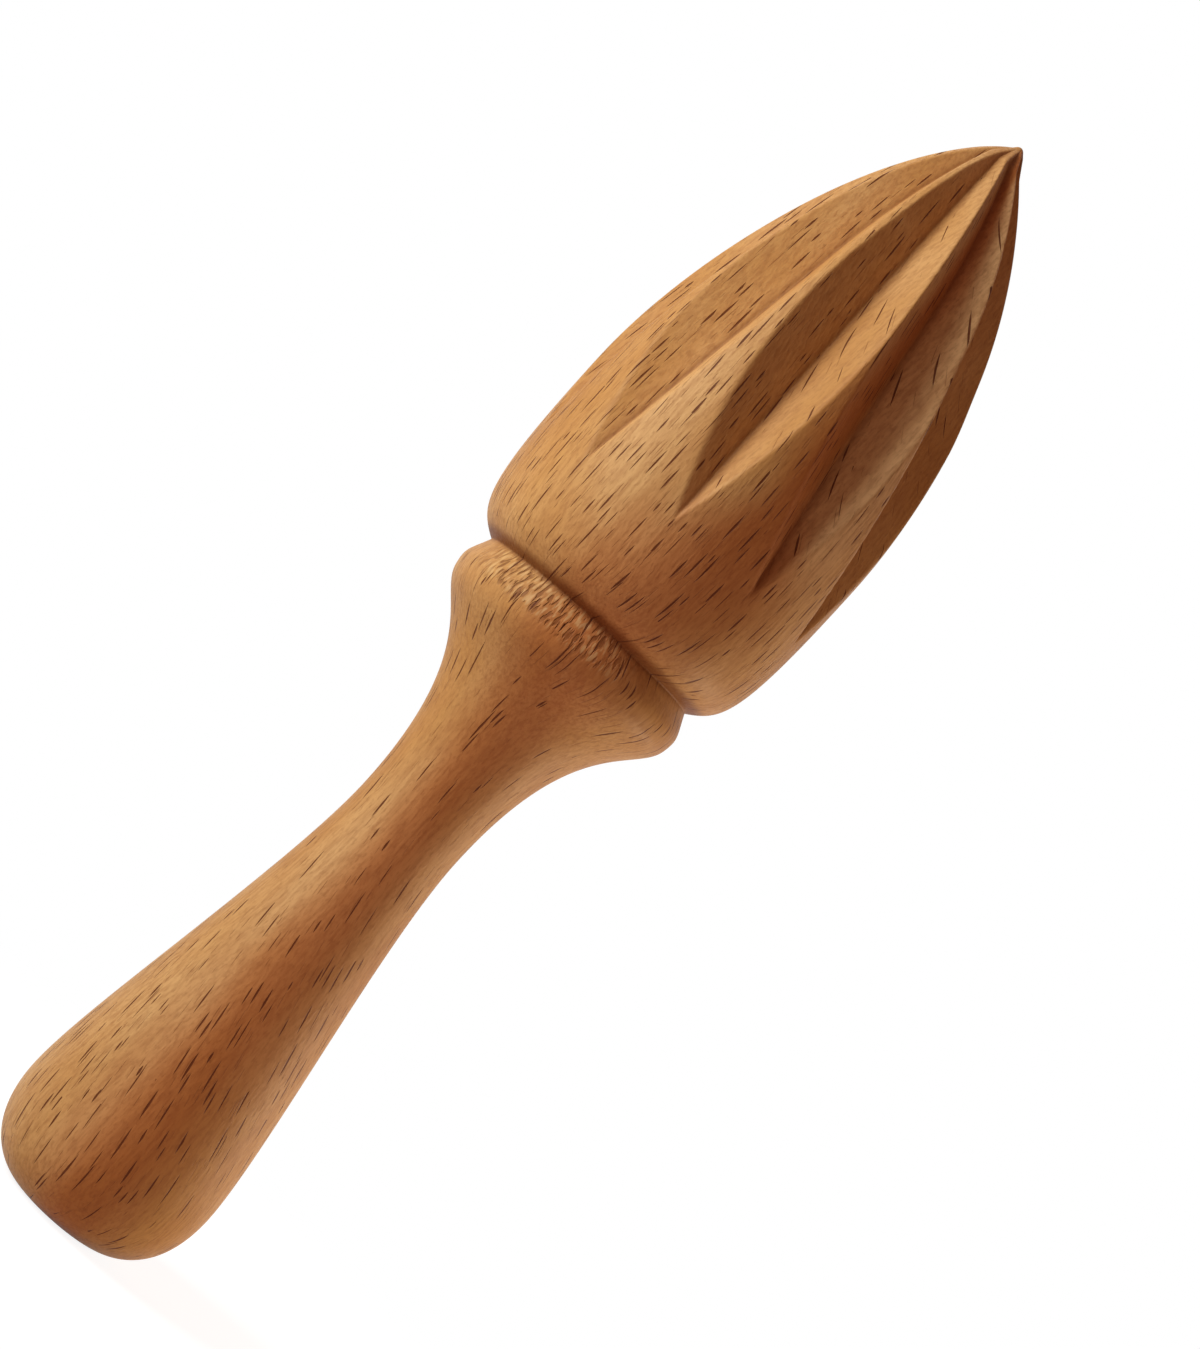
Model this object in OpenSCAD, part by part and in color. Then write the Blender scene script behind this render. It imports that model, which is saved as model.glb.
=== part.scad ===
// Wooden citrus reamer, turned in one piece from a single blank of beech.
// Millimetres. It stands on its butt at the origin, +Z up its axis, tip up.
// The first flute faces -Y.

/* [Overall] */
// Length from the butt to the tip
body_len = 155; // [140:1:175]

/* [Handle] */
// Diameter of the flat that the reamer stands on
butt_d = 11.6; // [6:0.2:18]
// Diameter of the handle's swell
belly_d = 25.1; // [22:0.1:30]
// Height of the swell
belly_z = 10; // [8:0.1:16]
// Diameter of the handle at its waist
waist_d = 13.2; // [10:0.2:18]
// Height of the waist
waist_z = 55.7; // [48:0.1:64]

/* [Collar] */
// Diameter at the lower edge of the collar's lip
lip_d = 30.3; // [26:0.1:34]
// Height of that edge
lip_z = 79.6; // [75:0.1:81]
// Angle at which the flare passes over into the lip, outward from straight up
lip_flare = 12; // [0:1:25]
// Diameter at the bottom of the turned groove
groove_d = 28.2; // [22:0.1:30]
// Height of the groove
groove_z = 84.2; // [83:0.1:88]

/* [Head] */
// Diameter of the head at its crown
head_d = 37.6; // [34:0.1:42]
// Height of the crown
crown_z = 106.2; // [98:0.1:115]
// Diameter at which the tip starts to round off
tip_d = 1.8; // [1:0.1:4]
// Length of the rounded tip
tip_len = 0.7; // [0.4:0.1:2]

/* [Flutes] */
// Number of flutes round the head
flutes = 10; // [6:1:12]
// Angle between a flute's two walls
flute_angle = 107; // [80:1:120]
// Height at which a flute's valley runs out of the head's side
flute_z = 96.5; // [90:0.5:110]
// Radius of the arc in which the valley bends over to the tip
flute_bow = 74; // [50:1:100]
// How much more steeply the valley leans at the tip than a straight line from its foot
flute_hook = 16; // [8:1:20]
// Height above the tip at which the valleys would meet
flute_past = 0.6; // [0.3:0.1:3]

/* [Hidden] */
$fn = 96;

beech = [0.78, 0.55, 0.36];
cutter_h = 12;
cutter_run = 12;
cutter_swing = 6;
ring_fn = 360;

// Shape of the profile: how far each curve runs on along its end's direction,
// as a share of the rise between its two ends.
butt_pull = 0.15;
belly_pull_down = 0.83;
belly_pull_up = 0.19;
waist_pull_down = 0.26;
waist_pull_up = 0.80;
lip_pull_down = 0.16;
lip_pull_up = 0.45;
groove_pull_down = 0.60;
groove_pull_up = 0.18;
crown_pull_down = 0.86;
crown_pull_up = 0.40;
tip_pull = 0.25;

// Slopes of the profile where it isn't upright, in degrees from straight up
groove_side_below = 24;
groove_side_above = 58;
tip_side = 53;

// Points of the profile as [radius, height]
butt = [butt_d / 2, 0];
belly = [belly_d / 2, belly_z];
waist = [waist_d / 2, waist_z];
lip = [lip_d / 2, lip_z];
groove = [groove_d / 2, groove_z];
crown = [head_d / 2, crown_z];
nose = [tip_d / 2, body_len - tip_len];
tip = [0, body_len];

// A step of the given length, at an angle outward from straight up
function step(length, flare = 0) = length * [sin(flare), cos(flare)];

// Points along the cubic curve from a to d with handles b and c, without its first
function curve(a, b, c, d, n) = [
    for (i = [1:n])
        let (u = i / n, v = 1 - u)
        v * v * v * a + 3 * v * v * u * b + 3 * v * u * u * c + u * u * u * d
];

function rise(a, b) = b[1] - a[1];

profile = concat(
    [[0, 0], butt],
    curve(butt, butt + step(butt_pull * rise(butt, belly), 90),
        belly - step(belly_pull_down * rise(butt, belly)), belly, 10),
    curve(belly, belly + step(belly_pull_up * rise(belly, waist)),
        waist - step(waist_pull_down * rise(belly, waist)), waist, 16),
    curve(waist, waist + step(waist_pull_up * rise(waist, lip)),
        lip - step(lip_pull_down * rise(waist, lip), lip_flare), lip, 16),
    curve(lip, lip + step(lip_pull_up * rise(lip, groove), lip_flare),
        groove - step(groove_pull_down * rise(lip, groove), -groove_side_below), groove, 8),
    curve(groove, groove + step(groove_pull_up * rise(groove, crown), groove_side_above),
        crown - step(crown_pull_down * rise(groove, crown)), crown, 14),
    curve(crown, crown + step(crown_pull_up * rise(crown, nose)),
        nose - step(tip_pull * rise(crown, nose), -tip_side), nose, 14),
    curve(nose, nose + step(tip_len / 2, -tip_side), tip + [tip_d / 4, 0], tip, 4)
);

// The valley of a flute climbs straight from the head's side and then bends over in
// an arc, tangent to the straight run, to a point just above the tip. Angles are
// from straight up, toward the axis.
valley_foot = [head_d / 2, flute_z];
valley_top = [0, body_len + flute_past];
valley_lean = atan(valley_foot[0] / rise(valley_foot, valley_top));
lean_at_top = valley_lean + flute_hook;
bow_centre = valley_top - flute_bow * [cos(lean_at_top), sin(lean_at_top)];
foot_to_centre = bow_centre - valley_foot;
straight_run = sqrt(norm(foot_to_centre) * norm(foot_to_centre) - flute_bow * flute_bow);
straight_lean = atan2(-foot_to_centre[0], foot_to_centre[1]) - atan2(flute_bow, straight_run);

// The V of the cutter, its point at the given distance along X
module cutter_v(point) {
    polygon([
        [point, 0],
        [point + cutter_h, cutter_h * tan(flute_angle / 2)],
        [point + cutter_h, -cutter_h * tan(flute_angle / 2)]
    ]);
}

// What the cutter takes out along one valley: the straight run, then the arc
module flute_cut() {
    translate([valley_foot[0], 0, valley_foot[1]])
        rotate([0, -straight_lean, 0])
            translate([0, 0, -cutter_run])
                linear_extrude(cutter_run + straight_run)
                    cutter_v(0);
    translate([bow_centre[0], 0, bow_centre[1]])
        rotate([90, 0, 0])
            rotate([0, 0, straight_lean])
                rotate_extrude(angle = lean_at_top + cutter_swing - straight_lean, $fn = ring_fn)
                    cutter_v(flute_bow);
}

module turned_blank() {
    rotate_extrude()
        polygon(profile);
}

// The blank after its first count flutes: one cut at a time, as they are made
module fluted(count) {
    if (count == 0)
        turned_blank();
    else
        difference() {
            fluted(count - 1);
            rotate([0, 0, 360 * (count - 1) / flutes - 90])
                flute_cut();
        }
}

module reamer_body() {
    color(beech)
        fluted(flutes);
}

reamer_body();
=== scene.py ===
from collections import namedtuple
from math import cos, e, radians, sin

import bpy
import numpy as np
from mathutils import Matrix, Vector


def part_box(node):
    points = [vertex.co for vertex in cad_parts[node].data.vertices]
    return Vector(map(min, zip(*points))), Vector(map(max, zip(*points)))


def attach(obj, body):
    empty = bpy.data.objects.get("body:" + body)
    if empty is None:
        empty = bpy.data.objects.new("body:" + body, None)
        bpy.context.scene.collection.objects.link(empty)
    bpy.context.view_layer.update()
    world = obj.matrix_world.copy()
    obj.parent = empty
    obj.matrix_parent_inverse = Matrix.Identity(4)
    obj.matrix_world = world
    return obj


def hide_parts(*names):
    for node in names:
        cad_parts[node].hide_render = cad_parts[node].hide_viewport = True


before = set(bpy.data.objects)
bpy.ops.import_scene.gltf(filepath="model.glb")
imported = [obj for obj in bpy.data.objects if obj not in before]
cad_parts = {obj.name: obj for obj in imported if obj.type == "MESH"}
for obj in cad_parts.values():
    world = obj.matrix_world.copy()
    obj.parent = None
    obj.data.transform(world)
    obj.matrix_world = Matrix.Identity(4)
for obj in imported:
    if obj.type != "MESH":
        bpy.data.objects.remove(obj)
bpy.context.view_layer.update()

MM = 0.001
LOW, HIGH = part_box("reamer_body")
LENGTH = HIGH.z - LOW.z
HEAD_R = HIGH.x

# Radii and heights of the turned profile, butt to tip
BUTT_R = 5.8 * MM
BELLY = (12.55 * MM, 10.0 * MM)
WAIST = (6.6 * MM, 55.7 * MM)
LIP = (15.15 * MM, 79.6 * MM)
GROOVE = (14.1 * MM, 84.2 * MM)
CROWN = (HEAD_R, 106.2 * MM)
NOSE = (0.9 * MM, LENGTH - 0.7 * MM)

# Slopes of the profile where it isn't upright, in degrees from straight up
LIP_FLARE = 12
GROOVE_SIDE_BELOW = 24
GROOVE_SIDE_ABOVE = 58
TIP_SIDE = 53

# How far each of the profile's curves runs on along its end's direction, as a share of the
# rise between its two ends
BUTT_PULL = 0.15
BELLY_PULL_DOWN = 0.83
BELLY_PULL_UP = 0.19
WAIST_PULL_DOWN = 0.26
WAIST_PULL_UP = 0.80
LIP_PULL_DOWN = 0.16
LIP_PULL_UP = 0.45
GROOVE_PULL_DOWN = 0.60
GROOVE_PULL_UP = 0.18
CROWN_PULL_DOWN = 0.86
CROWN_PULL_UP = 0.40
TIP_PULL = 0.25

# The flutes: the cutter's V, the valley's foot, and how it bends over to the tip
FLUTES = 10
FLUTE_ANGLE = 107
FLUTE_Z = 96.5 * MM
FLUTE_BOW = 74 * MM
FLUTE_HOOK = 16
FLUTE_PAST = 0.6 * MM
# The cutter is held askew, in degrees: a flute's left wall opens wider than its right one by
# twice this angle
CUTTER_TILT = 5
# How far each hand-fed cut starts above or below the mean, in millimetres, from the flute
# that faces the camera
FOOT_OFFSETS = [0.0, -0.6, 0.2, 0.5, -0.7, 0.4, -0.5, 0.6, -0.2, -1.4]
# How far each cut strays from even spacing, in degrees
AZIMUTH_OFFSETS = [0.0, 0.1, 0.4, 2.6, 0.5, 0.3, -0.2, 0.5, 0.4, -1.2]
# How far the cuts' common centre strays from the turning's axis, as (x, y) at the tip, and
# the blank's radius below which it comes back
STRAY = (-1.0 * MM, -0.55 * MM)
STRAY_BACK_R = 3.5 * MM

# Rounding: a valley's bottom, the edge between a wall and the turned surface, the ridge
# between two flutes, and the least that is left of an edge or a ridge at the tip
VALLEY_ROUND = 0.08 * MM
EDGE_ROUND = 0.22 * MM
RIDGE_ROUND = 0.55 * MM
LEAST_ROUND = 0.02 * MM
# The share of a valley's rounding by which its bottom is sunk again
ROUND_SUNK = 0.6
# The angle, in radians, over which the tilt of the cutter passes from one wall to the other
TILT_BLEND = 0.01

# Limits that keep the formula of a flute's walls finite far from its valley: the widest angle
# in radians, the least distance and share, and the radius in metres that stands for no wall
WIDEST_OFF = 1.2
LEAST_KEEL = 0.5 * MM
LEAST_SHARE = 0.02
NO_WALL = 1.0

# How far the painted shade in a valley's bottom reaches up its walls
VALLEY_SHADE_REACH = 0.45 * MM

# The mesh: columns in a flute's sector, the rows' spacing at given heights in millimetres,
# and the rings across the flat of the butt
WALL_COLUMNS = 20
LAND_COLUMNS = 9
ROW_HEIGHTS = [0, 12, 40, 74, 78, 88, 94, 110, 150, 155]
ROW_STEPS = [0.20, 0.35, 0.45, 0.30, 0.14, 0.14, 0.25, 0.28, 0.20, 0.07]
BUTT_RINGS = 8
# The columns follow the walls' edges from this height on, over this rise, within these
# shares of the sector. Below, the walls' columns have the even share.
FOLLOW_FROM = 88 * MM
FOLLOW_RISE = 8 * MM
WALL_SHARES = (0.35, 0.95)
EVEN_SHARE = 0.69
# An edge is found by this many trials in a row, and smoothed over this many rows
EDGE_TRIALS = 80
SMOOTHED_ROWS = 9

# Sanding waves: their mean depth, and their count round the axis with their height
SANDED_DEPTH = 0.03 * MM
SANDED_WAVES = (6, 14 * MM)
# Torn grain on the upper side of the collar, and a nick on a ridge near the tip: the place
# and how far it spreads, both as (azimuth, height), and the depth
TORN_AT = (radians(-12), 82.6 * MM)
TORN_SPREAD = (radians(42), 1.9 * MM)
TORN_DEPTH = 0.06 * MM
# Two sizes of waves tear the grain, and this much is added, so that more than half is torn
TORN_WAVES = (190, 1.3 * MM)
TORN_FINE_WAVES = (330, 0.8 * MM)
TORN_FINE_SHARE = 0.6
TORN_ADDED = 0.35
NICK_AT = (radians(-18), 137.6 * MM)
NICK_SPREAD = (radians(3), 0.5 * MM)
NICK_DEPTH = 0.15 * MM
# The heights over which all this fades out at the butt and at the tip
SMOOTH_BUTT = 6 * MM
SMOOTH_TIP = 4 * MM


def step(length, flare=0.0):
    """A move of the given length as (radius, height), at an angle outward from straight up."""
    return np.array([length * sin(radians(flare)), length * cos(radians(flare))])


def curve(a, b, c, d, count=200):
    """Points along the cubic curve from a to d with handles b and c, without its first."""
    u = np.linspace(0, 1, count + 1)[1:, None]
    v = 1 - u
    return v ** 3 * a + 3 * v ** 2 * u * b + 3 * v * u ** 2 * c + u ** 3 * d


def rise(a, b):
    return b[1] - a[1]


def turned_profile():
    """The lathe's profile as (radius, height) points, closely spaced."""
    butt = np.array([BUTT_R, 0.0])
    belly, waist, lip, groove, crown, nose = map(np.array, (BELLY, WAIST, LIP, GROOVE, CROWN, NOSE))
    tip = np.array([0.0, LENGTH])
    return np.concatenate([
        [butt],
        curve(butt, butt + step(BUTT_PULL * rise(butt, belly), 90),
              belly - step(BELLY_PULL_DOWN * rise(butt, belly)), belly),
        curve(belly, belly + step(BELLY_PULL_UP * rise(belly, waist)),
              waist - step(WAIST_PULL_DOWN * rise(belly, waist)), waist),
        curve(waist, waist + step(WAIST_PULL_UP * rise(waist, lip)),
              lip - step(LIP_PULL_DOWN * rise(waist, lip), LIP_FLARE), lip),
        curve(lip, lip + step(LIP_PULL_UP * rise(lip, groove), LIP_FLARE),
              groove - step(GROOVE_PULL_DOWN * rise(lip, groove), -GROOVE_SIDE_BELOW), groove),
        curve(groove, groove + step(GROOVE_PULL_UP * rise(groove, crown), GROOVE_SIDE_ABOVE),
              crown - step(CROWN_PULL_DOWN * rise(groove, crown)), crown),
        curve(crown, crown + step(CROWN_PULL_UP * rise(crown, nose)),
              nose - step(TIP_PULL * rise(crown, nose), -TIP_SIDE), nose),
        curve(nose, nose + step(rise(nose, tip) / 2, -TIP_SIDE),
              tip + np.array([NOSE[0] / 2, 0]), tip),
    ])


def profile_rows():
    """The profile again, with its points spaced as the mesh's rows are."""
    points = turned_profile()
    lengths = np.hypot(*np.diff(points, axis=0).T)
    heights = (points[1:, 1] + points[:-1, 1]) / 2
    steps = np.interp(heights, np.array(ROW_HEIGHTS) * MM, np.array(ROW_STEPS) * MM)
    counts = np.concatenate([[0], np.cumsum(lengths / steps)])
    wanted = np.linspace(0, counts[-1], int(counts[-1]) + 2)
    return np.stack([np.interp(wanted, counts, points[:, i]) for i in (0, 1)], axis=1)


def smooth_least(a, b, width):
    """The lesser of a and b, with the corner between them rounded over the given width."""
    overlap = np.maximum(width - np.abs(a - b), 0)
    return np.minimum(a, b) - overlap ** 2 / (4 * width)


def within_half_turn(angle):
    """The same angle between minus and plus half a turn."""
    return (angle + np.pi) % (2 * np.pi) - np.pi


class Flute:
    """One valley: a straight climb from the head's side, then an arc bending over to the tip."""

    def __init__(self, azimuth, foot_z):
        self.azimuth = radians(azimuth)
        foot = np.array([HEAD_R, foot_z])
        top = np.array([0.0, LENGTH + FLUTE_PAST])
        lean_at_top = np.arctan2(foot[0], rise(foot, top)) + radians(FLUTE_HOOK)
        self.centre = top - FLUTE_BOW * np.array([np.cos(lean_at_top), np.sin(lean_at_top)])
        reach = self.centre - foot
        run = np.sqrt(reach @ reach - FLUTE_BOW ** 2)
        self.lean = np.arctan2(-reach[0], reach[1]) - np.arctan2(FLUTE_BOW, run)
        self.foot = foot
        self.bend = foot + run * np.array([-np.sin(self.lean), np.cos(self.lean)])

    def radius(self, z, azimuth):
        """Distance from the axis to the flute's walls, at heights z and azimuths in radians."""
        off = np.clip(within_half_turn(azimuth - self.azimuth), -WIDEST_OFF, WIDEST_OFF)
        lean_cos, lean_sin = np.cos(self.lean), np.sin(self.lean)
        keel = self.foot[0] - (z - self.foot[1]) * lean_sin / lean_cos
        half_angle = radians(FLUTE_ANGLE / 2) - radians(CUTTER_TILT) * np.tanh(off / TILT_BLEND)
        rounding = VALLEY_ROUND / np.maximum(keel, LEAST_KEEL)
        aside = (np.hypot(np.tan(off), rounding) - ROUND_SUNK * rounding) / np.tan(half_angle)
        straight = keel * lean_cos / np.maximum(lean_cos - aside, LEAST_SHARE)
        # The same wall where the valley is an arc: the outer root of a quadratic in the radius
        centre_x = self.centre[0]
        shared = centre_x + aside * FLUTE_BOW
        above = z - self.centre[1]
        under = shared ** 2 - (1 - aside ** 2) * (centre_x ** 2 - FLUTE_BOW ** 2 + above ** 2)
        bent = (shared + np.sqrt(np.maximum(under, 0))) / np.maximum(1 - aside ** 2, LEAST_SHARE)
        past_bend = (z - self.bend[1]) * lean_cos - (straight - self.bend[0]) * lean_sin
        across = np.where(past_bend > 0, bent, straight)
        return np.where(aside < 1 - LEAST_SHARE, across / np.cos(off), NO_WALL)


def hand_fed_flutes():
    """The ten valleys, each a little off its even place."""
    return [
        Flute(360 / FLUTES * k + AZIMUTH_OFFSETS[k], FLUTE_Z + FOOT_OFFSETS[k] * MM)
        for k in range(FLUTES)
    ]


def cut_centre(turned, z):
    """Where the cuts' common centre lies at heights z: it strays steadily, and comes back at
    the very tip."""
    risen = np.clip((z - FLUTE_Z) / (LENGTH - FLUTE_Z), 0, 1)
    share = risen * np.clip(turned / STRAY_BACK_R, 0, 1)
    return STRAY[0] * share, STRAY[1] * share


def wall_share(rows, flute):
    """The share of half a flute's sector that its wall takes up, in each row."""
    radius, z = rows[:, :1], rows[:, 1:]
    trials = np.linspace(0, np.pi / FLUTES, EDGE_TRIALS)
    cut = (flute.radius(z, flute.azimuth + trials) < radius).mean(axis=1)
    share = np.convolve(np.clip(cut, *WALL_SHARES), np.ones(SMOOTHED_ROWS) / SMOOTHED_ROWS, "same")
    above_feet = np.clip((rows[:, 1] - FOLLOW_FROM) / FOLLOW_RISE, 0, 1)
    return np.clip(EVEN_SHARE + (share - EVEN_SHARE) * above_feet, *WALL_SHARES)


def column_azimuths(rows, flutes):
    """The columns' azimuths in each row: they follow every flute's valley and the edges of its
    walls."""
    whole_turn = 2 * np.pi
    found = []
    for k, flute in enumerate(flutes):
        before = flutes[k - 1].azimuth - (whole_turn if k == 0 else 0)
        after = flutes[(k + 1) % FLUTES].azimuth + (whole_turn if k == FLUTES - 1 else 0)
        start = np.full(len(rows), (before + flute.azimuth) / 2)
        end = np.full(len(rows), (flute.azimuth + after) / 2)
        valley = np.full(len(rows), flute.azimuth)
        to_edge = wall_share(rows, flute) * np.pi / FLUTES
        for a, b, count in (
            (start, valley - to_edge, LAND_COLUMNS),
            (valley - to_edge, valley, WALL_COLUMNS),
            (valley, valley + to_edge, WALL_COLUMNS),
            (valley + to_edge, end, LAND_COLUMNS),
        ):
            found.append(a[:, None] + (b - a)[:, None] * np.arange(count) / count)
    return np.concatenate(found, axis=1)


def waves(azimuth, z, size, seed):
    """Smooth random waves from -1 to 1. Their size is how many go round the axis, and how
    high each is."""
    across, along = size
    values = np.random.default_rng(seed).uniform(-1, 1, (across, int(LENGTH / along) + 3))
    u = azimuth / (2 * np.pi) * across
    v = np.clip(z, 0, LENGTH) / along
    i = np.floor(u).astype(int)
    j = np.floor(v).astype(int)
    s, t = (x * x * (3 - 2 * x) for x in (u - i, v - j))
    low = values[i % across, j] * (1 - s) + values[(i + 1) % across, j] * s
    high = values[i % across, j + 1] * (1 - s) + values[(i + 1) % across, j + 1] * s
    return low * (1 - t) + high * t


def bump_at(value, centre, width):
    """1 at the centre, falling smoothly to 0 over the width."""
    return np.exp(-((value - centre) / width) ** 2)


def patch(azimuth, z, at, spread):
    """1 at a place on the surface, falling smoothly to 0 as it spreads."""
    return bump_at(azimuth, at[0], spread[0]) * bump_at(z, at[1], spread[1])


def unevenness(azimuth, z):
    """How far sanding, torn grain and a nick take the surface in from its true shape."""
    sanded = (1 + waves(azimuth, z, SANDED_WAVES, seed=1)) * SANDED_DEPTH
    coarse = waves(azimuth, z, TORN_WAVES, seed=2)
    fine = waves(azimuth, z, TORN_FINE_WAVES, seed=3)
    torn = np.maximum(coarse + TORN_FINE_SHARE * fine + TORN_ADDED, 0) * TORN_DEPTH
    torn = torn * patch(azimuth, z, TORN_AT, TORN_SPREAD)
    nick = patch(azimuth, z, NICK_AT, NICK_SPREAD) * NICK_DEPTH
    ends = np.clip(z / SMOOTH_BUTT, 0, 1) * np.clip((LENGTH - z) / SMOOTH_TIP, 0, 1)
    return (sanded + torn + nick) * ends


def surface_points():
    """The mesh's points, row by row from the rim of the butt to just under the tip, and the share
    of painted shade at each, near a valley's bottom."""
    rows = profile_rows()[:-1]
    flutes = hand_fed_flutes()
    azimuth = column_azimuths(rows, flutes)
    turned, z = rows[:, :1], rows[:, 1:]
    centre_x, centre_y = cut_centre(turned, z)
    outward = centre_x * np.sin(azimuth) - centre_y * np.cos(azimuth)
    reach = np.sqrt(outward ** 2 - centre_x ** 2 - centre_y ** 2 + turned ** 2) - outward
    walls = flutes[0].radius(z, azimuth)
    ridge_round = np.clip(turned / 2, LEAST_ROUND, RIDGE_ROUND)
    for flute in flutes[1:]:
        walls = smooth_least(walls, flute.radius(z, azimuth), ridge_round)
    radius = smooth_least(reach, walls, np.clip(turned / 2, LEAST_ROUND, EDGE_ROUND))
    height = np.broadcast_to(z, azimuth.shape)
    radius = radius - unevenness(within_half_turn(azimuth), height)
    points = np.stack([
        centre_x + radius * np.sin(azimuth),
        centre_y - radius * np.cos(azimuth),
        height,
    ], axis=2)
    return points, valley_shade(flutes, azimuth, radius, reach - radius)


def valley_shade(flutes, azimuth, radius, depth):
    """Where shade is painted in the valleys: 1 at a valley's bottom, and 0 out on the walls."""
    nearest = np.full(azimuth.shape, np.pi)
    for flute in flutes:
        nearest = np.minimum(nearest, np.abs(within_half_turn(azimuth - flute.azimuth)))
    return bump_at(nearest * radius, 0, VALLEY_SHADE_REACH) * np.clip(depth / VALLEY_SHADE_REACH, 0, 1)


def reamer_surface():
    """One closed mesh: rings across the flat butt, the rows of the surface, and the tip."""
    points, valley_shading = surface_points()
    columns = points.shape[1]
    rings = np.linspace(0, 1, BUTT_RINGS + 1)[1:-1, None, None] * points[0]
    grid = np.concatenate([rings, points])
    count = grid.shape[0] * columns
    corners = np.concatenate([grid.reshape(-1, 3), [[0, 0, 0], [0, 0, LENGTH]]])
    index = np.arange(count).reshape(-1, columns)
    after = np.roll(index, -1, axis=1)
    quads = np.stack([index[:-1], after[:-1], after[1:], index[1:]], axis=2).reshape(-1, 4)
    bottom = [(count, b, a) for a, b in zip(index[0].tolist(), after[0].tolist())]
    top = [(a, b, count + 1) for a, b in zip(index[-1].tolist(), after[-1].tolist())]
    mesh = bpy.data.meshes.new("reamer_surface")
    mesh.from_pydata(corners.tolist(), [], quads.tolist() + bottom + top)
    mesh.shade_smooth()
    # The share of painted shade along the valleys' bottoms, kept on the points
    on_rings = np.zeros(rings.shape[0] * columns)
    valley = mesh.attributes.new("valley_shade", "FLOAT", "POINT")
    valley.data.foreach_set("value", np.concatenate([on_rings, valley_shading.ravel(), [0, 0]]))
    piece = bpy.data.objects.new("reamer_surface", mesh)
    bpy.context.scene.collection.objects.link(piece)
    return piece


class Graph:
    """Builds a material's or a world's nodes: each call adds nodes and gives back an output."""

    def __init__(self, owner):
        owner.use_nodes = True
        self.tree = owner.node_tree
        self.tree.nodes.clear()

    def node(self, kind, inputs=(), **settings):
        """A node with its settings, and its inputs by name or number."""
        made = self.tree.nodes.new(kind)
        for name, value in settings.items():
            setattr(made, name, value)
        for key, value in dict(inputs).items():
            if isinstance(value, bpy.types.NodeSocket):
                self.tree.links.new(value, made.inputs[key])
            else:
                made.inputs[key].default_value = value
        return made

    def math(self, operation, *values):
        return self.node("ShaderNodeMath", enumerate(values), operation=operation).outputs[0]

    def distance(self, a, b):
        """How far the value a is from the value b, either way."""
        return self.math("ABSOLUTE", self.math("SUBTRACT", a, b))

    def fade(self, value, start, end, low=0.0, high=1.0):
        """Low where value is at start, high where it is at end, and smooth between."""
        inputs = {0: value, 1: start, 2: end, 3: low, 4: high}
        return self.node("ShaderNodeMapRange", inputs, interpolation_type="SMOOTHSTEP").outputs[0]

    def mix(self, share, a, b, blend="MIX"):
        inputs = {0: share, 6: a, 7: b}
        return self.node("ShaderNodeMix", inputs, data_type="RGBA", blend_type=blend).outputs[2]

    def paint_shade(self, share, color, tint):
        """The colour darkened by a tint, by this share: painted shade."""
        return self.mix(share, color, tint, "MULTIPLY")

    def vector(self, x, y, z):
        return self.node("ShaderNodeCombineXYZ", {0: x, 1: y, 2: z}).outputs[0]

    def parts(self, vector):
        return self.node("ShaderNodeSeparateXYZ", {0: vector}).outputs

    def noise(self, parts, counts, detail=2.0):
        """Noise from 0 to 1, with these many waves in a unit of each of the three parts."""
        place = self.vector(*(self.math("MULTIPLY", *pair) for pair in zip(parts, counts)))
        inputs = {"Vector": place, "Scale": 1.0, "Detail": detail}
        return self.node("ShaderNodeTexNoise", inputs).outputs[0]

    def backdrop(self):
        """1 for rays that show what is behind the object, straight, in a gloss or through
        glass, and 0 for the rays that light it."""
        rays = self.node("ShaderNodeLightPath").outputs
        direct = self.math("MAXIMUM", rays["Is Camera Ray"], rays["Is Glossy Ray"])
        return self.math("MAXIMUM", direct, rays["Is Transmission Ray"])


def linear(color):
    """A colour picked as 0 to 255 on a screen, as Blender's linear colour."""
    return tuple(
        (c / 255 / 12.92 if c / 255 <= 0.04045 else ((c / 255 + 0.055) / 1.055) ** 2.4)
        for c in color
    ) + (1.0,)


# The wood's colours, from 0 to 255 on a screen
HONEY = linear((210, 160, 104))
AMBER = linear((190, 134, 74))
# Painted light: a paler tone for the flute wall beside the front, which lies in shadow under the
# lamps
LIT_WALL_TONE = linear((236, 192, 138))
RING = linear((178, 118, 68))
FIBRE = linear((160, 104, 60))
GRAIN = linear((148, 94, 54))
CRACK = linear((110, 58, 28))
SPLINTER = linear((226, 188, 132))
FINE_RAY = linear((128, 70, 36))
BOLD_RAY = linear((94, 42, 20))
# What the painted shade leaves of the red, green and blue: down the front, in the crease under the
# head and along the valleys' bottoms
STRIPE_SHADE = (0.82, 0.54, 0.44, 1)
CREASE_SHADE = (0.40, 0.26, 0.20, 1)
VALLEY_SHADE = (0.50, 0.38, 0.32, 1)

# Between which values of its noise each layer of the wood fades in, from what share to what
TONE_FADE = (0.32, 0.68, 0.0, 1.0)
RING_FADE = (0.40, 0.70, 0.0, 0.30)
FIBRE_FADE = (0.35, 0.72, 0.0, 0.40)
GRAIN_FADE = (0.48, 0.74, 0.0, 0.32)
CRACK_FADE = (0.52, 0.62, 0.0, 1.0)
SPLINTER_FADE = (0.46, 0.36, 0.0, 0.35)
# The greatest shares of the other layers
# Painted light on the wall beside the front, then painted shade down the front, in the crease and in
# the valleys
LIT_WALL_SHARE = 0.70
STRIPE_SHADE_SHARE = 0.90
CREASE_SHADE_SHARE = 0.85
VALLEY_SHADE_SHARE = 0.75
CRACK_SHARE = 0.60
FINE_SHARE = 0.50
BOLD_SHARE = 0.90

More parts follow.
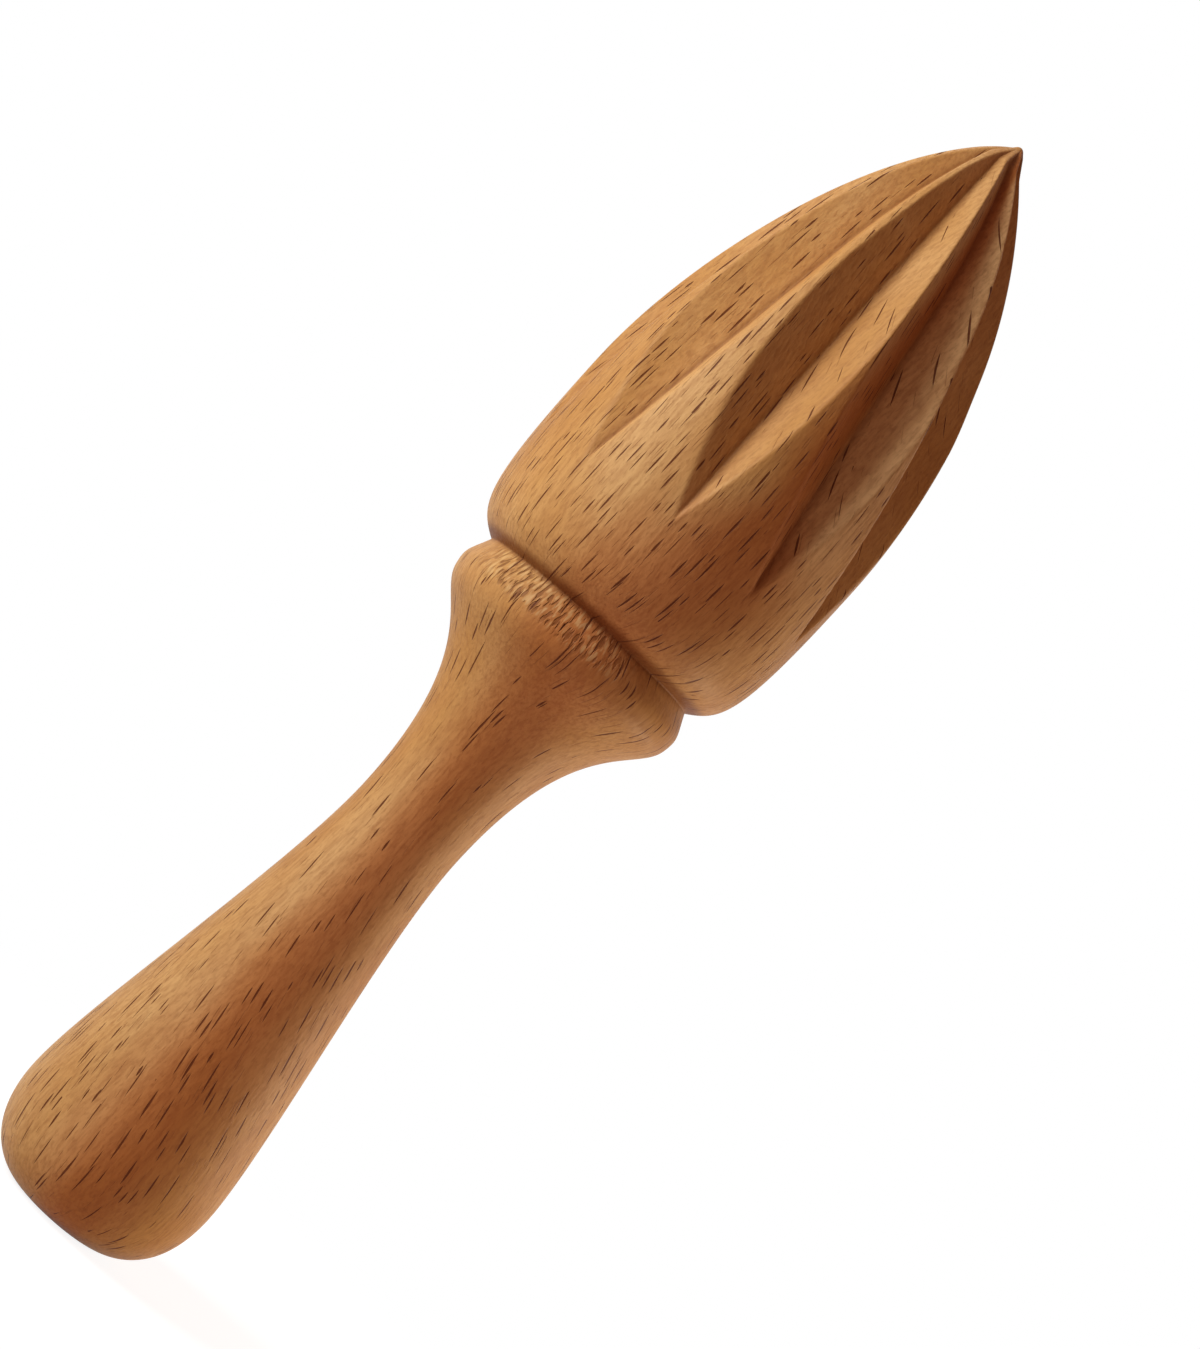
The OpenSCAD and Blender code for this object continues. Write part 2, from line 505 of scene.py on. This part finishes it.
# How many waves the wood's noises have in a metre along X, Y and Z
WAVER_WAVES = (60.0, 60.0, 45.0)
TONE_WAVES = (70.0, 70.0, 28.0)
RING_WAVES = (420.0, 90.0, 12.0)
FIBRE_WAVES = (2600.0, 2600.0, 260.0)
GRAIN_WAVES = (3600.0, 3600.0, 1300.0)
# How far the wavering moves a line
WAVER_REACH = 1.2 * MM

# The rays' dashes: the cell that holds one at most and a dash's size, both as (width, height),
# the share of the cells that hold one at the crown, and the seed
Dashes = namedtuple("Dashes", "cell size share seed")
BOLD_DASHES = Dashes((1.15 * MM, 5.6 * MM), (0.19 * MM, 2.9 * MM), share=1.15, seed=23.4)
FINE_DASHES = Dashes((0.5 * MM, 4.0 * MM), (0.08 * MM, 1.9 * MM), share=0.55, seed=47.9)
# A dash's half width and half height: the least, and how much chance adds, as shares of its size
HALF_WIDTHS = (0.25, 0.5)
HALF_HEIGHTS = (0.2, 0.6)
# Where a dash's edge fades out, as a share of its half size
DASH_EDGE = (1.05, 0.65)
# How much further the seed moves the cells upward than across
SEED_UP = 1.7
# How much a dash leans for the slope that it crosses, and for each metre up the handle
DASH_LEAN = 0.45
HANDLE_TWIST = 0.18
# Limits of the rays' formula: the least pace over the surface, and the least radius
LEAST_PACE = 0.35
LEAST_RADIUS = 0.5 * MM

# Painted shade: a darker, redder stripe down the front where the core shadow falls, wide below and
# narrow
# on the head, and painted light: paler wood beside it on a flute wall that lies in shadow: azimuths
# and widths in radians
STRIPE_LOW = radians(8)
STRIPE_HIGH = radians(27)
STRIPE_WIDE = radians(46)
STRIPE_NARROW = radians(15)
STRIPE_WANDER = radians(24)
STRIPE_EDGE = (1.0, 0.1)
# Where the painted light on the flute wall beside the front lies, and how far it spreads
LIT_WALL_AZIMUTH = radians(44)
LIT_WALL_WIDTHS = (radians(16), radians(6))
NARROW_FROM = FLUTE_Z - 4 * MM
NARROW_TO = FLUTE_Z + 12 * MM

# Painted shade in the crease under the head
CREASE_Z = 85.1 * MM
CREASE_WIDTHS = (1.0 * MM, 0.1 * MM)

# The torn grain's colour on the collar: its middle, from where to where it fades in, and
# the cracks' waves in a radian and in a metre, with the slice of the noise that is used
TORN_Z = 82.2 * MM
TORN_HEIGHTS = (2.4 * MM, 1.2 * MM)
TORN_AZIMUTH = radians(-16)
TORN_WIDTHS = (radians(52), radians(26))
CRACK_WAVES = (34.0, 560.0, 3.0)

# The surface: roughness and what the fibres add to it, gloss, and the relief's full height
# with the shares of it by which the fibres rise and the rest is sunk
ROUGHNESS = 0.40
FIBRE_ROUGHNESS = 0.14
GLOSS = 0.07
RELIEF = 0.10 * MM
FIBRES_RISE = 0.35
BOLD_SUNK = 0.8
FINE_SUNK = 0.3
CRACKS_SUNK = 1.3

# A place on the surface: X, Y and Z, the distance from the axis, and the azimuth in radians
Spot = namedtuple("Spot", "x y z radius azimuth")


def dashes(graph, across, up, widen, thinned, kind):
    """Lens-shaped dashes of one kind, as 1 inside and 0 outside."""
    cell, size, share, seed = kind
    place = graph.vector(
        graph.math("MULTIPLY_ADD", across, 1 / cell[0], seed),
        graph.math("MULTIPLY_ADD", up, 1 / cell[1], seed * SEED_UP),
        0.0,
    )
    inputs = {"Vector": place, "Scale": 1.0}
    cells = graph.node("ShaderNodeTexVoronoi", inputs, voronoi_dimensions="2D").outputs
    chance = graph.node("ShaderNodeSeparateColor", {0: cells["Color"]}).outputs
    gap = graph.node("ShaderNodeVectorMath", {0: place, 1: cells["Position"]}, operation="SUBTRACT")
    gap_across, gap_up, _ = graph.parts(gap.outputs[0])
    wide, tall = size[0] / cell[0], size[1] / cell[1]
    half_w = graph.math("MULTIPLY_ADD", chance[0], HALF_WIDTHS[1] * wide, HALF_WIDTHS[0] * wide)
    half_h = graph.math("MULTIPLY_ADD", chance[1], HALF_HEIGHTS[1] * tall, HALF_HEIGHTS[0] * tall)
    half_w = graph.math("MULTIPLY", half_w, widen)
    aside = graph.math("DIVIDE", graph.math("ABSOLUTE", gap_across), half_w)
    ahead = graph.math("POWER", graph.math("DIVIDE", graph.math("ABSOLUTE", gap_up), half_h), 2.0)
    lens = graph.fade(graph.math("ADD", aside, ahead), *DASH_EDGE)
    there = graph.math("LESS_THAN", chance[2], graph.math("MULTIPLY", thinned, share))
    return graph.math("MULTIPLY", lens, there)


def surface_spot(graph):
    """The place of the point that is being shaded."""
    x, y, z = graph.parts(graph.node("ShaderNodeTexCoord").outputs["Object"])
    square = graph.math("ADD", graph.math("MULTIPLY", x, x), graph.math("MULTIPLY", y, y))
    radius = graph.math("MAXIMUM", graph.math("SQRT", square), LEAST_RADIUS)
    azimuth = graph.math("ARCTAN2", x, graph.math("MULTIPLY", y, -1.0))
    return Spot(x, y, z, radius, azimuth)


def ray_across(graph, spot, waver):
    """The rays' own place across the surface, in metres at the crown. A dash leans with the
    slope of the surface, because this stays the same along it."""
    swell = graph.math("LOGARITHM", graph.math("DIVIDE", spot.radius, HEAD_R), e)
    turn = graph.math("MULTIPLY_ADD", swell, -DASH_LEAN, spot.azimuth)
    twist = graph.math("MULTIPLY", graph.math("MINIMUM", spot.z, LIP[1]), HANDLE_TWIST)
    twist = graph.math("ADD", twist, graph.math("MULTIPLY", waver, WAVER_REACH))
    return graph.math("MULTIPLY_ADD", turn, HEAD_R, twist)


def ray_pace(graph, spot):
    """How fast the rays' place runs along a level line of the surface here, against a plain
    round one of this radius."""
    normal = graph.node("ShaderNodeNewGeometry").outputs["Normal"]
    normal_x, normal_y, _ = graph.parts(normal)
    onward = graph.vector(
        graph.math("MULTIPLY_ADD", spot.y, -DASH_LEAN, spot.x),
        graph.math("MULTIPLY_ADD", spot.x, DASH_LEAN, spot.y),
        0.0,
    )
    flat_normal = graph.vector(normal_x, normal_y, 0.0)
    met = graph.node("ShaderNodeVectorMath", {0: normal, 1: onward}, operation="DOT_PRODUCT")
    level = graph.node("ShaderNodeVectorMath", {0: flat_normal}, operation="LENGTH")
    whole = graph.math("MULTIPLY", level.outputs["Value"], spot.radius)
    pace = graph.math("DIVIDE", graph.math("ABSOLUTE", met.outputs["Value"]), whole)
    return graph.math("MAXIMUM", pace, LEAST_PACE)


def ray_flecks(graph, spot, waver):
    """The bold and the fine dashes of the rays. They keep their width on the flutes' walls,
    and grow fewer where the wood is thin."""
    across = ray_across(graph, spot, waver)
    crowding = graph.math("DIVIDE", spot.radius, HEAD_R)
    widen = graph.math("DIVIDE", ray_pace(graph, spot), crowding)
    thinned = graph.math("MULTIPLY", crowding, crowding)
    return [
        dashes(graph, across, spot.z, widen, thinned, kind)
        for kind in (BOLD_DASHES, FINE_DASHES)
    ]


def wood_color(graph, spot, waver, fibres, grains):
    """The wood's colour: broad tone, painted light as paler wood beside the front, growth rings,
    fibres
    and grains, then painted shade: a darker stripe down the front, in the crease and along the
    valleys' bottoms."""
    tone = graph.noise(spot[:3], TONE_WAVES, detail=3.0)
    rings = graph.noise(spot[:3], RING_WAVES, detail=1.0)
    color = graph.mix(graph.fade(tone, *TONE_FADE), HONEY, AMBER)
    # Painted light: paler wood on the flute wall beside the front, which the lamps leave in shadow
    lit_wall = graph.fade(graph.distance(spot.azimuth, LIT_WALL_AZIMUTH), *LIT_WALL_WIDTHS)
    on_head = graph.fade(spot.z, FLUTE_Z, NARROW_TO, 0.0, LIT_WALL_SHARE)
    color = graph.mix(graph.math("MULTIPLY", lit_wall, on_head), color, LIT_WALL_TONE)
    color = graph.mix(graph.fade(rings, *RING_FADE), color, RING)
    color = graph.mix(graph.fade(fibres, *FIBRE_FADE), color, FIBRE)
    color = graph.mix(graph.fade(grains, *GRAIN_FADE), color, GRAIN)

    # Painted shade: a darker, redder stripe down the front, where the core shadow falls
    middle = graph.fade(spot.z, GROOVE[1], CROWN[1], STRIPE_LOW, STRIPE_HIGH)
    reach = graph.fade(spot.z, NARROW_FROM, NARROW_TO, STRIPE_WIDE, STRIPE_NARROW)
    wander = graph.math("MULTIPLY_ADD", tone, STRIPE_WANDER, -STRIPE_WANDER / 2)
    aside = graph.distance(graph.math("ADD", spot.azimuth, wander), middle)
    stripe = graph.fade(graph.math("DIVIDE", aside, reach), *STRIPE_EDGE, 0.0, STRIPE_SHADE_SHARE)
    color = graph.paint_shade(stripe, color, STRIPE_SHADE)

    # Painted shade in the crease under the head
    crease = graph.distance(graph.math("MULTIPLY_ADD", waver, WAVER_REACH, spot.z), CREASE_Z)
    color = graph.paint_shade(graph.fade(crease, *CREASE_WIDTHS, 0.0, CREASE_SHADE_SHARE), color, CREASE_SHADE)
    # Painted shade along the valleys' bottoms
    valley_shading = graph.node("ShaderNodeAttribute", attribute_name="valley_shade").outputs["Fac"]
    return graph.paint_shade(graph.math("MULTIPLY", valley_shading, VALLEY_SHADE_SHARE), color, VALLEY_SHADE)


def torn_grain(graph, spot):
    """Short upright cracks on the upper side of the collar, and the splinters between them."""
    here = graph.math(
        "MULTIPLY",
        graph.fade(graph.distance(spot.z, TORN_Z), *TORN_HEIGHTS),
        graph.fade(graph.distance(spot.azimuth, TORN_AZIMUTH), *TORN_WIDTHS),
    )
    cracks = graph.noise((spot.azimuth, spot.z, 1.0), CRACK_WAVES, detail=1.0)
    return [
        graph.math("MULTIPLY", here, graph.fade(cracks, *limits))
        for limits in (CRACK_FADE, SPLINTER_FADE)
    ]


def beech():
    """Oiled beech: honey to red-brown, with fine fibres along Z and the dark dashes of its rays."""
    material = bpy.data.materials.new("beech")
    graph = Graph(material)
    spot = surface_spot(graph)
    waver = graph.noise(spot[:3], WAVER_WAVES)
    fibres = graph.noise(spot[:3], FIBRE_WAVES)
    grains = graph.noise(spot[:3], GRAIN_WAVES)
    bold, fine = ray_flecks(graph, spot, waver)
    cracked, splintered = torn_grain(graph, spot)

    color = wood_color(graph, spot, waver, fibres, grains)
    color = graph.mix(graph.math("MULTIPLY", cracked, CRACK_SHARE), color, CRACK)
    color = graph.mix(splintered, color, SPLINTER)
    color = graph.mix(graph.math("MULTIPLY", fine, FINE_SHARE), color, FINE_RAY)
    color = graph.mix(graph.math("MULTIPLY", bold, BOLD_SHARE), color, BOLD_RAY)

    height = graph.math("MULTIPLY", graph.math("ADD", fibres, grains), FIBRES_RISE)
    for sunk, depth in ((bold, BOLD_SUNK), (fine, FINE_SUNK), (cracked, CRACKS_SUNK)):
        height = graph.math("MULTIPLY_ADD", sunk, -depth, height)
    bump = graph.node("ShaderNodeBump", {"Height": height, "Strength": 1.0, "Distance": RELIEF})
    shader = graph.node("ShaderNodeBsdfPrincipled", {
        "Base Color": color,
        "Roughness": graph.math("MULTIPLY_ADD", fibres, FIBRE_ROUGHNESS, ROUGHNESS),
        "Specular IOR Level": GLOSS,
        "Normal": bump.outputs[0],
    })
    graph.node("ShaderNodeOutputMaterial", {"Surface": shader.outputs[0]})
    return material


WHITE = (1, 1, 1, 1)
FLOOR_REACH = 2.0
# The floor's greys: as it lights the object, and near the object as it shows the shadow,
# where the lift brings it up to white
FLOOR_GREY = (0.82, 0.82, 0.82, 1)
SHADOW_GREY = (0.30, 0.30, 0.30, 1)
SHADOW_LIFT = 0.88
SHADOW_REACH = (0.03, 0.12)


def floor_paint():
    """Pale floor that keeps the reamer's shadow, and fades to plain white away from it."""
    material = bpy.data.materials.new("floor_paint")
    graph = Graph(material)
    place = graph.node("ShaderNodeTexCoord").outputs["Object"]
    away = graph.node("ShaderNodeVectorMath", {0: place}, operation="LENGTH").outputs["Value"]
    white = graph.node("ShaderNodeEmission", {"Color": WHITE, "Strength": 1.0}).outputs[0]
    paint = graph.node("ShaderNodeBsdfDiffuse", {"Color": FLOOR_GREY}).outputs[0]
    lift = graph.node("ShaderNodeEmission", {"Color": WHITE, "Strength": SHADOW_LIFT}).outputs[0]
    thin = graph.node("ShaderNodeBsdfDiffuse", {"Color": SHADOW_GREY}).outputs[0]
    near = graph.node("ShaderNodeAddShader", {0: thin, 1: lift}).outputs[0]
    clear = graph.fade(away, *SHADOW_REACH)
    faded = graph.node("ShaderNodeMixShader", {0: clear, 1: near, 2: white}).outputs[0]
    shown = graph.node("ShaderNodeMixShader", {0: graph.backdrop(), 1: paint, 2: faded}).outputs[0]
    graph.node("ShaderNodeOutputMaterial", {"Surface": shown})
    return material


def floor():
    """The stage that the reamer stands on."""
    mesh = bpy.data.meshes.new("floor")
    corners = [(-1, -1), (1, -1), (1, 1), (-1, 1)]
    mesh.from_pydata([(x * FLOOR_REACH, y * FLOOR_REACH, 0) for x, y in corners], [], [(0, 1, 2, 3)])
    mesh.materials.append(floor_paint())
    plane = bpy.data.objects.new("floor", mesh)
    bpy.context.scene.collection.objects.link(plane)


# The low warm light that comes from all sides
WORLD_COLOR = (1.0, 0.43, 0.25, 1)
WORLD_STRENGTH = 0.185


def studio():
    """White to the eye, and a low even light on the object."""
    world = bpy.data.worlds.new("studio")
    bpy.context.scene.world = world
    graph = Graph(world)
    white = graph.node("ShaderNodeBackground", {"Color": WHITE, "Strength": 1.0}).outputs[0]
    low_light = {"Color": WORLD_COLOR, "Strength": WORLD_STRENGTH}
    low = graph.node("ShaderNodeBackground", low_light).outputs[0]
    shown = graph.node("ShaderNodeMixShader", {0: graph.backdrop(), 1: low, 2: white}).outputs[0]
    graph.node("ShaderNodeOutputWorld", {"Surface": shown})


def around(azimuth, distance, height):
    """A place at this azimuth in degrees and this distance from the axis."""
    return Vector((distance * sin(radians(azimuth)), -distance * cos(radians(azimuth)), height))


def softbox(name, place, target_z, width, tall, watts, color):
    """A rectangular lamp that faces the axis at a height."""
    lamp = bpy.data.lights.new(name, "AREA")
    lamp.shape = "RECTANGLE"
    lamp.size = width
    lamp.size_y = tall
    lamp.energy = watts
    lamp.color = color
    thing = bpy.data.objects.new(name, lamp)
    thing.location = place
    thing.rotation_euler = (Vector((0, 0, target_z)) - place).to_track_quat("-Z", "Y").to_euler()
    thing.visible_camera = False
    bpy.context.scene.collection.objects.link(thing)


# The camera stands a little to the right of the front flute, and is aimed beside the axis
CAMERA_AZIMUTH = 2.5
CAMERA_FROM_AXIS = 320 * MM
CAMERA_HEIGHT = 63.27 * MM
AIM_ASIDE = 4.45 * MM
AIM_HEIGHT = 81.22 * MM
AXIS_LEAN = 47.85
LENS = 79.11


def camera():
    """The photograph's camera: held tilted, so that the reamer leans to the upper right."""
    place = around(CAMERA_AZIMUTH, CAMERA_FROM_AXIS, CAMERA_HEIGHT)
    target = around(CAMERA_AZIMUTH + 90, AIM_ASIDE, AIM_HEIGHT)
    ahead = (target - place).normalized()
    upright = (Vector((0, 0, 1)) - ahead * ahead.z).normalized()
    sideways = ahead.cross(upright)
    lean = radians(AXIS_LEAN)
    right = upright * cos(lean) + sideways * sin(lean)
    up = upright * sin(lean) - sideways * cos(lean)
    lens = bpy.data.cameras.new("camera")
    lens.lens = LENS
    lens.clip_start = 0.01
    thing = bpy.data.objects.new("camera", lens)
    turn = Matrix((right, up, -ahead)).transposed()
    thing.matrix_world = Matrix.Translation(place) @ turn.to_4x4()
    bpy.context.scene.collection.objects.link(thing)
    bpy.context.scene.camera = thing


camera()
studio()
floor()
softbox("key", around(-61, 0.26, 0.19), target_z=0.6 * LENGTH,
        width=0.14, tall=0.16, watts=0.86, color=(0.88, 0.98, 1.0))
softbox("fill", around(105, 0.12, 0.03), target_z=0.03,
        width=0.09, tall=0.05, watts=0.092, color=(1.0, 0.97, 0.88))
bpy.context.scene.view_settings.view_transform = "Standard"

reamer = reamer_surface()
reamer.data.materials.append(beech())
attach(reamer, "root")
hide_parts("reamer_body")
